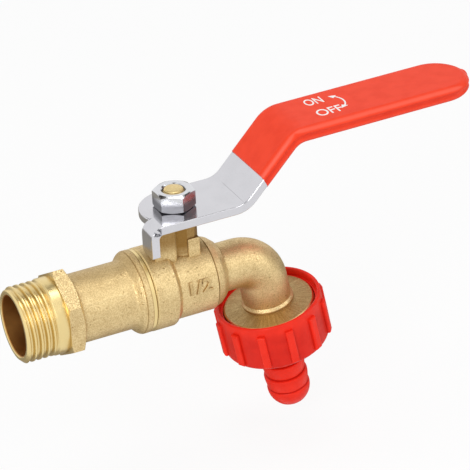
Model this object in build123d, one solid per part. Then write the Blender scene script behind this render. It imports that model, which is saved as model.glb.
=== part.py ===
from build123d import *
import math
import os

# Hose tap: a quarter-turn ball valve of forged brass with a male inlet thread, a bent
# outlet, a steel lever with a vinyl grip, and a plastic union nut that holds a hose barb.
# The origin is on the inlet axis at the shoulder behind the inlet thread. +X runs with
# the flow, +Z up the stem. All sizes are in millimetres and all angles in degrees.

# Clearances
SEAT_GAP = 0.1
STOP_GAP = 0.1
RUNNING_GAP = 0.05
THREAD_GAP = 0.3
FIT_GAP = 0.05

# Layout
STEM_X = 36.2
JOINT_TO_STEM = 11.3
STEM_TO_BEND = 23.5
OUTLET_TILT = 10.3

# Inlet tail
INLET_THREAD_RADIUS = 10.48
INLET_THREAD_LENGTH = 11.8
INLET_LEAD_IN = 0.9
INLET_PITCH = 1.814
INLET_CREST_DROP = 0.16
INLET_THREAD_DEPTH = 0.84
INLET_ROOT_FLAT = 0.45
INLET_CREST_FLAT = 0.3
INLET_NECK_LENGTH = 2.9
INLET_WALL = 1.18
INLET_MOUTH_BEVEL = 0.4
HEX_STEP = 0.52
HEX_WIDTH = 4.7
HEX_FRONT_BEVEL = 0.45
HEX_BACK_BEVEL = 1.3
HEX_ROLL = -1.0
BARREL_WALL = 1.1
FLARE_DROP = 0.05
FLARE_LENGTH = 2.0
FLARE_SHOULDER_LENGTH = 0.9
FLARE_SHOULDER_DROP = 0.6
FLARE_ROUND = 0.8
FLARE_ROOT_ROUND = 0.5
RING_LENGTH = 2.9
CREASE_WIDTH = 0.5
CREASE_DEPTH = 0.25
EDGE_BREAK = 0.35
SPIGOT_WALL = 1.25
SPIGOT_LENGTH = 5.9

# Ball, seats and port
BALL_RADIUS = 7.7
PORT_RADIUS = 5.0
PORT_TAPER_LENGTH = 4.0
SEAT_LAND = 0.8
SEAT_INNER_FACE = 4.6
SEAT_OUTER_FACE = 7.2
BALL_SLOT_DEPTH = 2.2

# Valve body
BAND_WALL = 1.65
BAND_END_TO_STEM = 5.0
BAND_STEP_LENGTH = 1.3
BAND_ROUND = 1.2
CHAMBER_WALL = 1.65
STEM_TO_CHAMBER_END = 7.0
BEAD_LENGTH = 4.1
BEAD_CREST = 1.9
BEAD_CREST_RADIUS = 9.35
BEAD_ROUND = 1.6
BEAD_FOOT_RADIUS = 7.9
BEAD_CREASE_WIDTH = 0.5
BEAD_GROOVE_WIDTH = 0.4
BEAD_GROOVE_DEPTH = 0.4
ELBOW_RADIUS = 6.75
ELBOW_BEND_RADIUS = 8.0

# Neck and stops, with offsets from the stem axis
NECK_RADIUS = 5.6
NECK_TOP = 19.4
NECK_BEVEL = 0.5
LUG_ROUND = 0.5
LUG_FRONT = 5.2
LUG_FOOT = 4.0
OPEN_LUG_WIDTH = 6.3
OPEN_LUG_DEPTH = 3.7
OPEN_LUG_DROP = 1.0
NEAR_LUG_START = 1.0
NEAR_LUG_WIDTH = 3.6
NEAR_LUG_TOP = 14.2
SHUT_LUG_WIDTH = 4.0
SHUT_LUG_REACH = 9.8
SHUT_LUG_DROP = 2.9
NECK_FLAT = 4.6
NECK_WALL = 0.35

# Outlet, measured along the outlet axis from the bend's corner
COLLAR_RISE = 0.5
COLLAR_SLOPE = 0.8
COLLAR_LENGTH = 0.6
COLLAR_ROUND = 0.4
DISC_FALL = 0.6
DISC_EDGE = 15.0
OUTLET_THREAD_RADIUS = 12.62
DISC_BEVEL = 0.42
OUTLET_THREAD_END = 22.2
OUTLET_MOUTH_RADIUS = 8.5
OUTLET_MOUTH_DEPTH = 5.0
OUTLET_LEAD_IN = 0.8

# Hose washer, hose tail and union nut
WASHER_GAP = 1.22
WASHER_BORE_RADIUS = 5.6
WASHER_THICKNESS = 1.8
TAIL_FLANGE_GAP = 1.02
TAIL_FLANGE_THICKNESS = 1.9
TAIL_WALL = 1.55
TAIL_SHANK_DROP = 0.15
BARB_CREST_RADIUS = 6.15
BARB_DEPTH = 0.7
BARB_LAST_DROP = 0.2
BARB_PITCH = 3.7
BARB_COUNT = 4
BARB_FLANK = 0.9
BARB_ROUND = 0.5
BARB_START = 3.8
BARB_TIP_WALL = 0.85
BARB_TIP_LENGTH = 5.7
BARB_TIP_LAND = 0.05
NUT_RIM_ABOVE_DISC = 1.25
NUT_RIM_WALL = 1.05
NUT_RIM_BORE_DEPTH = 2.0
NUT_WALL = 1.83
NUT_RIM_ROUND = 0.45
NUT_FOOT_WALL = 1.8
NUT_FOOT_ROUND = 1.2
NUT_TAIL_GAP = 0.4
NUT_RIB_COUNT = 12
NUT_RIB_HEIGHT = 1.0
NUT_RIB_WIDTH = 2.2
NUT_RIB_TOP = 2.4
NUT_RIB_FOOT = 1.3
NUT_RIB_ROUND = 0.5
NUT_RIB_TURN = 6.3

# Stem, its seals and the lever nut
STEM_RADIUS = 3.2
STEM_FLANGE_LIP = 0.6
STEM_FLANGE_LIFT = 0.5
STEM_FLANGE_THICKNESS = 1.3
STEM_TANG_THICKNESS = 3.1
STEM_TANG_WIDTH = 6.2
THRUST_WASHER_THICKNESS = 0.9
RING_GROOVE_WIDTH = 1.3
RING_GROOVE_LEVELS = (12.9, 15.9)
RING_SECTION_RADIUS = 0.45
STEM_SHOULDER = 0.25
STEM_FLATS = 4.4
STEM_END_BEVEL = 0.4
STEM_END_RECESS = 0.25
LEVER_NUT_ACROSS_FLATS = 10.0
LEVER_NUT_HEIGHT = 5.0
LEVER_NUT_BEVEL = 0.55
LEVER_NUT_SINK = 0.45

# Lever and grip, with offsets along X from the stem axis
LEVER_THICKNESS = 2.4
LEVER_WIDTH = 19.2
LEVER_LIFT = 0.7
LEVER_EDGE_ROUND = 0.4
FIRST_BEND = 16.6
SECOND_BEND = 32.5
HANDLE_LIFT = 16.4
HANDLE_RISE = 0.6
BEND_RADIUS = 7.0
GRIP_START = 8.4
GRIP_WALL = 1.0
GRIP_START_LEAN = 20.0
GRIP_EDGE_FLAT = 0.1
GRIP_TIP = 89.4
GRIP_NUB_INSET = 0.2
GRIP_NUB_REACH = 0.6
GRIP_GROOVE_RADIUS = 1.2
GRIP_GROOVE_DEPTH = 0.4
TAB_INNER_FACE = 8.8
TAB_EDGE = 3.3
TAB_BOTTOM = 13.7
TAB_BEND_RADIUS = 1.2
TAB_CORNER_ROUND = 1.0
TAB_RELIEF_LENGTH = 2.3
TAB_RELIEF_WIDTH = 0.9
TAB_RELIEF_DEPTH = 0.5
TAB_RELIEF_SLOPE = 40.0

# Derived places
AT_STEM = Location((STEM_X, 0, 0))
ALONG_FLOW = Rot(0, 90, 0)
JOINT_X = STEM_X - JOINT_TO_STEM
BEND_X = STEM_X + STEM_TO_BEND
TILT = math.radians(OUTLET_TILT)
OUTLET_DIRECTION = Vector(math.sin(TILT), 0, -math.cos(TILT))
OUTLET_SIDE = Vector(math.cos(TILT), 0, math.sin(TILT))
AT_OUTLET = Plane((BEND_X, 0, 0), x_dir=OUTLET_SIDE, z_dir=OUTLET_DIRECTION).location
INLET_CREST_RADIUS = INLET_THREAD_RADIUS - INLET_CREST_DROP
INLET_BORE_RADIUS = INLET_CREST_RADIUS - INLET_THREAD_DEPTH - INLET_WALL
HEX_ACROSS_FLATS = 2 * (INLET_THREAD_RADIUS + HEX_STEP)
BARREL_RADIUS = INLET_BORE_RADIUS + BARREL_WALL
SEAT_RADIUS = BALL_RADIUS + SEAT_LAND
SPIGOT_RADIUS = SEAT_RADIUS + FIT_GAP + SPIGOT_WALL
BAND_RADIUS = SPIGOT_RADIUS + FIT_GAP + BAND_WALL
FLARE_RADIUS = BAND_RADIUS - FLARE_DROP
CHAMBER_BORE_RADIUS = SEAT_RADIUS + SEAT_GAP
CHAMBER_RADIUS = CHAMBER_BORE_RADIUS + CHAMBER_WALL
DISC_FOOT = DISC_EDGE - DISC_FALL
COLLAR_END = DISC_FOOT - COLLAR_LENGTH
COLLAR_START = COLLAR_END - COLLAR_SLOPE
COLLAR_RADIUS = ELBOW_RADIUS + COLLAR_RISE
DISC_RADIUS = OUTLET_THREAD_RADIUS - DISC_BEVEL
NUT_BORE_RADIUS = OUTLET_THREAD_RADIUS + THREAD_GAP
NUT_RADIUS = NUT_BORE_RADIUS + NUT_WALL
NUT_RIM_BORE_RADIUS = NUT_RADIUS - NUT_RIM_WALL
WASHER_RADIUS = NUT_BORE_RADIUS - WASHER_GAP
TAIL_FLANGE_RADIUS = NUT_BORE_RADIUS - TAIL_FLANGE_GAP
TAIL_SHANK_RADIUS = BARB_CREST_RADIUS - TAIL_SHANK_DROP
BARB_ROOT_RADIUS = BARB_CREST_RADIUS - BARB_DEPTH
BARB_LAST_RADIUS = BARB_CREST_RADIUS - BARB_LAST_DROP
TAIL_BORE_RADIUS = BARB_ROOT_RADIUS - TAIL_WALL
BARB_TIP_RADIUS = TAIL_BORE_RADIUS + BARB_TIP_WALL
BARB_TIP_ROUND = BARB_TIP_WALL - BARB_TIP_LAND
WASHER_END = OUTLET_THREAD_END + WASHER_THICKNESS
TAIL_FLANGE_END = WASHER_END + TAIL_FLANGE_THICKNESS
NUT_FOOT = TAIL_FLANGE_END + RUNNING_GAP + NUT_FOOT_WALL
NUT_RIM = DISC_EDGE - NUT_RIM_ABOVE_DISC
OPEN_LUG_TOP = NECK_TOP - OPEN_LUG_DROP
SHUT_LUG_TOP = NECK_TOP - SHUT_LUG_DROP
LEVER_BOTTOM = NECK_TOP + LEVER_LIFT
LEVER_TOP = LEVER_BOTTOM + LEVER_THICKNESS
LEVER_MID = LEVER_BOTTOM + LEVER_THICKNESS / 2
STEM_FLANGE_RADIUS = STEM_RADIUS + STEM_FLANGE_LIP
STEM_SCREW_RADIUS = STEM_RADIUS - STEM_SHOULDER
RING_GROOVE_RADIUS = STEM_RADIUS - 2 * RING_SECTION_RADIUS
STEM_FLANGE_BOTTOM = BALL_RADIUS + STEM_FLANGE_LIFT
STEM_FLANGE_TOP = STEM_FLANGE_BOTTOM + STEM_FLANGE_THICKNESS
NECK_SEAT = STEM_FLANGE_TOP + THRUST_WASHER_THICKNESS
STEM_END = LEVER_TOP + LEVER_NUT_HEIGHT - STEM_END_RECESS
GRIP_WIDTH = LEVER_WIDTH
GRIP_SECTION_THICKNESS = LEVER_THICKNESS + 2 * GRIP_WALL
GRIP_ROUND = GRIP_SECTION_THICKNESS / 2 - GRIP_EDGE_FLAT
GRIP_NUB_RADIUS = GRIP_SECTION_THICKNESS / 2 - GRIP_NUB_INSET
BLADE_WIDTH = GRIP_WIDTH - 2 * GRIP_WALL


def turned(corners: list) -> Part:
    """Revolve a closed outline of (along, radius, round) corners about the Z axis."""
    points = [(radius, 0, along) for along, radius, _ in corners]
    rounds = [corner[2] for corner in corners]
    outline = FilletPolyline(*points, radius=rounds, close=True)
    return revolve(make_face(outline), Axis.Z)


def tube(start: float, end: float, outer: float, inner: float) -> Part:
    """A plain ring along Z."""
    wall = Circle(outer) - Circle(inner)
    return Pos(0, 0, start) * extrude(wall, end - start)


def block(low: tuple, high: tuple) -> Part:
    """A box between two corners."""
    size = [b - a for a, b in zip(low, high)]
    middle = [(a + b) / 2 for a, b in zip(low, high)]
    return Pos(*middle) * Box(*size)


# Inlet tail

def hex_collar() -> Part:
    """The spanner hexagon behind the thread, with its corners turned off at both ends."""
    corner = HEX_ACROSS_FLATS / math.sqrt(3)
    prism = extrude(RegularPolygon(corner, 6), HEX_WIDTH)
    prism = ALONG_FLOW * Rot(0, 0, HEX_ROLL) * prism
    bevels = ALONG_FLOW * turned(
        [
            (0, 0, 0),
            (0, corner - 2 * HEX_FRONT_BEVEL, 0),
            (HEX_FRONT_BEVEL, corner, 0),
            (HEX_WIDTH - HEX_BACK_BEVEL, corner, 0),
            (HEX_WIDTH, corner - 2 * HEX_BACK_BEVEL, 0),
            (HEX_WIDTH, 0, 0),
        ]
    )
    return prism & bevels


def thread_groove() -> Part:
    """The helical groove of the inlet screw, which runs out at the plain neck."""
    flank = (INLET_PITCH - INLET_CREST_FLAT - INLET_ROOT_FLAT) / 2 / INLET_THREAD_DEPTH
    above = INLET_CREST_FLAT / 2
    foot = INLET_ROOT_FLAT / 2
    mouth = foot + flank * (INLET_THREAD_DEPTH + above)
    start = -INLET_THREAD_LENGTH - INLET_PITCH
    turns = Helix(INLET_PITCH, -INLET_NECK_LENGTH - mouth - start, INLET_CREST_RADIUS)
    path = Pos(0, 0, start) * turns
    outline = Polyline(
        (-INLET_THREAD_DEPTH, -foot),
        (above, -mouth),
        (above, mouth),
        (-INLET_THREAD_DEPTH, foot),
        close=True,
    )
    section = Plane(path @ 0, x_dir=(1, 0, 0), z_dir=path % 0) * make_face(outline)
    return ALONG_FLOW * sweep(section, path, is_frenet=True)


def inlet_tail() -> Part:
    """Threaded end, hexagon, barrel and joint ring, with a spigot that holds the inlet seat."""
    mouth = -INLET_THREAD_LENGTH
    ring = JOINT_X - RING_LENGTH
    flare = ring - FLARE_LENGTH
    end = JOINT_X + SPIGOT_LENGTH
    outside = ALONG_FLOW * turned(
        [
            (mouth, 0, 0),
            (mouth, INLET_CREST_RADIUS - INLET_LEAD_IN, 0),
            (mouth + INLET_LEAD_IN, INLET_CREST_RADIUS, 0),
            (-INLET_NECK_LENGTH, INLET_CREST_RADIUS, 0),
            (INLET_CREST_DROP - INLET_NECK_LENGTH, INLET_THREAD_RADIUS, 0),
            (HEX_WIDTH / 2, INLET_THREAD_RADIUS, 0),
            (HEX_WIDTH / 2, BARREL_RADIUS, 0),
            (flare, BARREL_RADIUS, FLARE_ROOT_ROUND),
            (ring - FLARE_SHOULDER_LENGTH, FLARE_RADIUS - FLARE_SHOULDER_DROP, FLARE_ROUND),
            (ring - CREASE_WIDTH / 2, FLARE_RADIUS - CREASE_DEPTH / 2, 0),
            (ring, FLARE_RADIUS - CREASE_DEPTH, 0),
            (ring + CREASE_WIDTH / 2, FLARE_RADIUS, 0),
            (JOINT_X - EDGE_BREAK, FLARE_RADIUS, 0),
            (JOINT_X, FLARE_RADIUS - EDGE_BREAK, 0),
            (JOINT_X, SPIGOT_RADIUS, 0),
            (end, SPIGOT_RADIUS, 0),
            (end, 0, 0),
        ]
    )
    seat = STEM_X - SEAT_OUTER_FACE
    port = JOINT_X
    waterway = ALONG_FLOW * turned(
        [
            (mouth, 0, 0),
            (mouth, INLET_BORE_RADIUS + INLET_MOUTH_BEVEL, 0),
            (mouth + INLET_MOUTH_BEVEL, INLET_BORE_RADIUS, 0),
            (port - PORT_TAPER_LENGTH, INLET_BORE_RADIUS, 0),
            (port, PORT_RADIUS, 0),
            (seat, PORT_RADIUS, 0),
            (seat, SEAT_RADIUS + FIT_GAP, 0),
            (end, SEAT_RADIUS + FIT_GAP, 0),
            (end, 0, 0),
        ]
    )
    return outside - thread_groove() + hex_collar() - waterway


# Valve body

def barrel_forging() -> Part:
    """The turned outside of the joint band, the ball chamber and the bead before the elbow."""
    chamber_end = STEM_X + STEM_TO_CHAMBER_END
    bead = chamber_end + BEAD_GROOVE_WIDTH
    bead_end = bead + BEAD_LENGTH
    band_end = STEM_X - BAND_END_TO_STEM
    return ALONG_FLOW * turned(
        [
            (JOINT_X, 0, 0),
            (JOINT_X, BAND_RADIUS - EDGE_BREAK, 0),
            (JOINT_X + EDGE_BREAK, BAND_RADIUS, 0),
            (band_end, BAND_RADIUS, BAND_ROUND),
            (band_end + BAND_STEP_LENGTH, CHAMBER_RADIUS, FLARE_ROOT_ROUND),
            (chamber_end, CHAMBER_RADIUS, 0),
            (chamber_end + BEAD_GROOVE_WIDTH / 2, CHAMBER_RADIUS - BEAD_GROOVE_DEPTH, 0),
            (bead, CHAMBER_RADIUS - BEAD_GROOVE_DEPTH / 2, 0),
            (bead + BEAD_CREST, BEAD_CREST_RADIUS, BEAD_ROUND),
            (bead_end - BEAD_CREASE_WIDTH, BEAD_FOOT_RADIUS, 0),
            (bead_end, ELBOW_RADIUS, 0),
            (bead_end, 0, 0),
        ]
    )


def outlet_path(start_x: float, end: float) -> Wire:
    """The bent centre line from a point on the flow axis to a place on the outlet axis."""
    corner = Vector(BEND_X, 0, 0)
    finish = corner + OUTLET_DIRECTION * end
    return FilletPolyline((start_x, 0, 0), corner, finish, radius=ELBOW_BEND_RADIUS)


def bent_bar(start_x: float, end: float, radius: float) -> Part:
    """A round bar along the bent centre line."""
    path = outlet_path(start_x, end)
    section = Plane(path @ 0, x_dir=(0, 1, 0), z_dir=path % 0) * Circle(radius)
    return sweep(section, path)


def outlet_end() -> Part:
    """The collar, disc and outlet screw below the elbow, along the outlet axis."""
    inside = ELBOW_RADIUS / 2
    return AT_OUTLET * turned(
        [
            (COLLAR_START, inside, 0),
            (COLLAR_START, ELBOW_RADIUS, 0),
            (COLLAR_END, COLLAR_RADIUS, COLLAR_ROUND),
            (DISC_FOOT, COLLAR_RADIUS, 0),
            (DISC_EDGE, DISC_RADIUS, 0),
            (DISC_EDGE + DISC_BEVEL, OUTLET_THREAD_RADIUS, 0),
            (OUTLET_THREAD_END - OUTLET_LEAD_IN, OUTLET_THREAD_RADIUS, 0),
            (OUTLET_THREAD_END, OUTLET_THREAD_RADIUS - OUTLET_LEAD_IN, 0),
            (OUTLET_THREAD_END, inside, 0),
        ]
    )


def rounded_lug(low: tuple, high: tuple) -> Part:
    """A forged stop lug with soft edges, in stem coordinates."""
    lug = block(low, high)
    return fillet(lug.edges(), LUG_ROUND)


def neck() -> Part:
    """The round stem housing with the lugs that stop the lever, in stem coordinates."""
    column = turned(
        [
            (0, 0, 0),
            (0, NECK_RADIUS, 0),
            (NECK_TOP - NECK_BEVEL, NECK_RADIUS, 0),
            (NECK_TOP, NECK_RADIUS - NECK_BEVEL, 0),
            (NECK_TOP, 0, 0),
        ]
    )
    open_face = -TAB_INNER_FACE + STOP_GAP
    open_lug = rounded_lug(
        (open_face, -LUG_FRONT, LUG_FOOT),
        (open_face + OPEN_LUG_WIDTH, OPEN_LUG_DEPTH - LUG_FRONT, OPEN_LUG_TOP),
    )
    near_lug = rounded_lug(
        (NEAR_LUG_START, -LUG_FRONT, LUG_FOOT),
        (NEAR_LUG_START + NEAR_LUG_WIDTH, 0, NEAR_LUG_TOP),
    )
    shut_face = -TAB_EDGE + STOP_GAP
    shut_lug = rounded_lug(
        (shut_face, 0, LUG_FOOT / 2),
        (shut_face + SHUT_LUG_WIDTH, SHUT_LUG_REACH, SHUT_LUG_TOP),
    )
    recess_side = open_face + OPEN_LUG_WIDTH
    front_flat = block((recess_side, -2 * NECK_RADIUS, 0), (2 * NECK_RADIUS, -NECK_FLAT, NECK_TOP))
    cut = column - front_flat - lug_recess(recess_side)
    return cut + open_lug + near_lug + shut_lug


def lug_recess(side: float) -> Part:
    """The sloping hollow between the two near lugs, kept a wall's width off the stem's pocket."""
    pocket = STEM_FLANGE_RADIUS + RUNNING_GAP + NECK_WALL
    distance = math.hypot(NEAR_LUG_START, NECK_FLAT)
    bearing = math.atan2(NECK_FLAT, -NEAR_LUG_START) + math.asin(pocket / distance)
    run = (NEAR_LUG_START - side) / -math.cos(bearing)
    outline = Polyline(
        (NEAR_LUG_START, -NECK_FLAT),
        (side, -NECK_FLAT + run * math.sin(bearing)),
        (side, -NECK_FLAT),
        close=True,
    )
    return extrude(make_face(outline), NECK_TOP)


def stem_well() -> Part:
    """The stepped hole through the neck for the stem and its thrust washer."""
    pocket = extrude(Circle(STEM_FLANGE_RADIUS + RUNNING_GAP), NECK_SEAT)
    bore = extrude(Circle(STEM_RADIUS + RUNNING_GAP), NECK_TOP)
    return pocket + bore


def valve_body() -> Part:
    """The forged main body: joint band, ball chamber, neck, elbow and outlet."""
    bead_end = STEM_X + STEM_TO_CHAMBER_END + BEAD_GROOVE_WIDTH + BEAD_LENGTH
    seat = STEM_X + SEAT_OUTER_FACE
    bar_start = bead_end - BEAD_LENGTH / 2
    forging = barrel_forging() + AT_STEM * neck()
    forging += bent_bar(bar_start, OUTLET_THREAD_END - OUTLET_MOUTH_DEPTH, ELBOW_RADIUS)
    forging += outlet_end()
    chamber = ALONG_FLOW * turned(
        [
            (JOINT_X, 0, 0),
            (JOINT_X, SPIGOT_RADIUS + FIT_GAP, 0),
            (JOINT_X + SPIGOT_LENGTH + FIT_GAP, SPIGOT_RADIUS + FIT_GAP, 0),
            (JOINT_X + SPIGOT_LENGTH + FIT_GAP, CHAMBER_BORE_RADIUS, 0),
            (seat, CHAMBER_BORE_RADIUS, 0),
            (seat, 0, 0),
        ]
    )
    mouth = AT_OUTLET * turned(
        [
            (OUTLET_THREAD_END - OUTLET_MOUTH_DEPTH, 0, 0),
            (OUTLET_THREAD_END - OUTLET_MOUTH_DEPTH, PORT_RADIUS, 0),
            (OUTLET_THREAD_END, OUTLET_MOUTH_RADIUS, 0),
            (OUTLET_THREAD_END, 0, 0),
        ]
    )
    waterway = bent_bar(seat, OUTLET_THREAD_END, PORT_RADIUS)
    return forging - chamber - AT_STEM * stem_well() - waterway - mouth


# Ball, seats and stem

def ball() -> Part:
    """The bored ball with the cross slot that the stem's tang turns."""
    port = ALONG_FLOW * Cylinder(PORT_RADIUS, 3 * BALL_RADIUS)
    slot_width = STEM_TANG_THICKNESS + 2 * RUNNING_GAP
    slot = block(
        (-slot_width / 2, -BALL_RADIUS, BALL_RADIUS - BALL_SLOT_DEPTH),
        (slot_width / 2, BALL_RADIUS, 2 * BALL_RADIUS),
    )
    return AT_STEM * (Sphere(BALL_RADIUS) - port - slot)


def seat(side: int) -> Part:
    """A seat ring whose inner face is hollowed to the ball; side is -1 at the inlet, 1 at the outlet."""
    ring = tube(SEAT_INNER_FACE, SEAT_OUTER_FACE - FIT_GAP, SEAT_RADIUS, PORT_RADIUS)
    hollow = Sphere(BALL_RADIUS + SEAT_GAP)
    return AT_STEM * Rot(0, 90 * side, 0) * (ring - hollow)


def stem() -> Part:
    """Tang, blow-out flange, two ring grooves, lever flats and screw end."""
    flange = tube(STEM_FLANGE_BOTTOM, STEM_FLANGE_TOP, STEM_FLANGE_RADIUS, 0.5 * STEM_RADIUS)
    shaft = turned(
        [
            (STEM_FLANGE_BOTTOM, 0, 0),
            (STEM_FLANGE_BOTTOM, STEM_RADIUS, 0),
            (LEVER_BOTTOM, STEM_RADIUS, 0),
            (LEVER_BOTTOM, STEM_SCREW_RADIUS, 0),
            (STEM_END - STEM_END_BEVEL, STEM_SCREW_RADIUS, 0),
            (STEM_END, STEM_SCREW_RADIUS - STEM_END_BEVEL, 0),
            (STEM_END, 0, 0),
        ]
    )
    tang = block(
        (-STEM_TANG_THICKNESS / 2, -STEM_TANG_WIDTH / 2, BALL_RADIUS - BALL_SLOT_DEPTH + RUNNING_GAP),
        (STEM_TANG_THICKNESS / 2, STEM_TANG_WIDTH / 2, STEM_FLANGE_BOTTOM + RUNNING_GAP),
    )
    result = flange + shaft + tang
    for level in RING_GROOVE_LEVELS:
        result -= tube(
            level - RING_GROOVE_WIDTH / 2,
            level + RING_GROOVE_WIDTH / 2,
            STEM_RADIUS + FIT_GAP,
            RING_GROOVE_RADIUS,
        )
    for side in (-1, 1):
        near = side * STEM_FLATS / 2
        far = side * 2 * STEM_RADIUS
        result -= block(
            (min(near, far), -2 * STEM_RADIUS, LEVER_BOTTOM),
            (max(near, far), 2 * STEM_RADIUS, LEVER_TOP),
        )
    return AT_STEM * result


def stem_ring(level: float) -> Part:
    """A rubber ring in one of the stem's grooves."""
    centre = RING_GROOVE_RADIUS + FIT_GAP / 2 + RING_SECTION_RADIUS
    return AT_STEM * Pos(0, 0, level) * Torus(centre, RING_SECTION_RADIUS)


def thrust_washer() -> Part:
    """The slip ring between the stem's flange and the neck."""
    inner = STEM_RADIUS + RUNNING_GAP
    return AT_STEM * tube(STEM_FLANGE_TOP, NECK_SEAT, STEM_FLANGE_RADIUS, inner)


def lever_nut() -> Part:
    """The hexagon nut on the stem's screw end, bevelled at both ends and sunk around the screw."""
    corner = LEVER_NUT_ACROSS_FLATS / math.sqrt(3)
    top = LEVER_TOP + LEVER_NUT_HEIGHT
    prism = Pos(0, 0, LEVER_TOP) * Rot(0, 0, 90) * extrude(RegularPolygon(corner, 6), LEVER_NUT_HEIGHT)
    bore = STEM_SCREW_RADIUS + FIT_GAP
    bevels = turned(
        [
            (LEVER_TOP, bore, 0),
            (LEVER_TOP, corner - 2 * LEVER_NUT_BEVEL, 0),
            (LEVER_TOP + LEVER_NUT_BEVEL, corner, 0),
            (top - LEVER_NUT_BEVEL, corner, 0),
            (top, corner - 2 * LEVER_NUT_BEVEL, 0),
            (top, bore + LEVER_NUT_SINK, 0),
            (top - LEVER_NUT_SINK, bore, 0),
        ]
    )
    return AT_STEM * (prism & bevels)


# Lever and grip

def handle_points() -> tuple:
    """The two bend corners and the tip's centre on the lever's middle surface, in stem coordinates."""
    tip_centre = GRIP_TIP - GRIP_NUB_REACH - GRIP_WIDTH / 2
    rise = math.tan(math.radians(HANDLE_RISE)) * (tip_centre - SECOND_BEND)
    first = Vector(FIRST_BEND, 0, LEVER_MID)
    second = Vector(SECOND_BEND, 0, LEVER_MID + HANDLE_LIFT)
    tip = Vector(tip_centre, 0, LEVER_MID + HANDLE_LIFT + rise)
    return first, second, tip


def strip(path: Wire, section: Sketch) -> Part:
    """A flat bar of the given section, swept along a path in the XZ plane."""
    return sweep(Plane(path @ 0, x_dir=(0, 1, 0), z_dir=path % 0) * section, path)


def round_end(section: Sketch, centre: Vector, along: Vector) -> Part:
    """A round end of the same section, turned about the normal of the strip at its centre."""
    half = section & Pos(section.bounding_box().max.X, 0) * Rectangle(
        2 * section.bounding_box().max.X, 2 * section.bounding_box().max.Y
    )
    disc = revolve(Plane.XZ * half, Axis.Z)
    normal = along.cross(Vector(0, 1, 0))
    return Plane(centre, x_dir=along, z_dir=normal).location * disc


def lever_section(width: float, thickness: float) -> Sketch:
    """The lever strip's section, with its long edges eased."""
    return RectangleRounded(width, thickness, LEVER_EDGE_ROUND)


def grip_section() -> Sketch:
    """The grip's outer section: a flat oval with a shallow groove along each side."""
    outer = RectangleRounded(GRIP_WIDTH, GRIP_SECTION_THICKNESS, GRIP_ROUND)
    offset_x = GRIP_WIDTH / 2 + GRIP_GROOVE_RADIUS - GRIP_GROOVE_DEPTH
    for side in (-1, 1):
        outer -= Pos(side * offset_x, 0) * Circle(GRIP_GROOVE_RADIUS)
    return outer


def dip_side(shift: float, above: bool) -> Part:
    """All space on one side of the leaning line where the grip starts, in stem coordinates."""
    first, second, tip = handle_points()
    climb = (second - first).normalized()
    lean = math.radians(GRIP_START_LEAN)
    normal = climb * math.cos(lean) - climb.cross(Vector(0, 1, 0)) * math.sin(lean)
    size = 4 * GRIP_WIDTH
    middle = size / 2 if above else -size / 2
    place = Plane(first + climb * (GRIP_START + shift), x_dir=(0, 1, 0), z_dir=normal)
    return place.location * Pos(0, 0, middle) * Box(size, size, size)


def blade(extra: float) -> Part:
    """The part of the lever inside the grip, grown by extra on every side, in stem coordinates."""
    first, second, tip = handle_points()
    climb = (second - first).normalized()
    start = first + climb * (GRIP_START - LEVER_THICKNESS)
    section = lever_section(BLADE_WIDTH + 2 * extra, LEVER_THICKNESS + 2 * extra)
    path = FilletPolyline(start, second, tip, radius=BEND_RADIUS)
    return strip(path, section) + round_end(section, tip, (tip - second).normalized())


def stop_tab() -> Part:
    """The tongue bent down from the lever's rear corner, in stem coordinates."""
    bend_inner = TAB_BEND_RADIUS
    bend_outer = TAB_BEND_RADIUS + LEVER_THICKNESS
    face = -TAB_INNER_FACE
    half = LEVER_WIDTH / 2
    overlap = 2 * LEVER_EDGE_ROUND
    outline = FilletPolyline(
        (overlap, 0, LEVER_TOP),
        (face - LEVER_THICKNESS, 0, LEVER_TOP),
        (face - LEVER_THICKNESS, 0, TAB_BOTTOM),
        (face, 0, TAB_BOTTOM),
        (face, 0, LEVER_BOTTOM),
        (overlap, 0, LEVER_BOTTOM),
        radius=[0, bend_outer, 0, 0, bend_inner, 0],
        close=True,
    )
    tongue = extrude(make_face(outline), amount=half - TAB_EDGE, dir=(0, 1, 0))
    tongue = Pos(0, -half, 0) * tongue
    foot_edges = tongue.edges().filter_by(Axis.X).group_by(Axis.Z)[0]
    tongue = fillet(foot_edges.sort_by(Axis.Y)[-1], TAB_CORNER_ROUND)
    tongue = fillet(tongue.faces().sort_by(Axis.Y)[0].edges(), LEVER_EDGE_ROUND)
    slope = math.radians(TAB_RELIEF_SLOPE)
    spot = Plane(
        (face - TAB_RELIEF_WIDTH / 2, -half, LEVER_MID),
        x_dir=(math.cos(slope), 0, -math.sin(slope)),
        z_dir=(0, -1, 0),
    )
    relief = spot * SlotOverall(TAB_RELIEF_LENGTH, TAB_RELIEF_WIDTH)
    return tongue - extrude(relief, amount=TAB_RELIEF_DEPTH, both=True)


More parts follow.
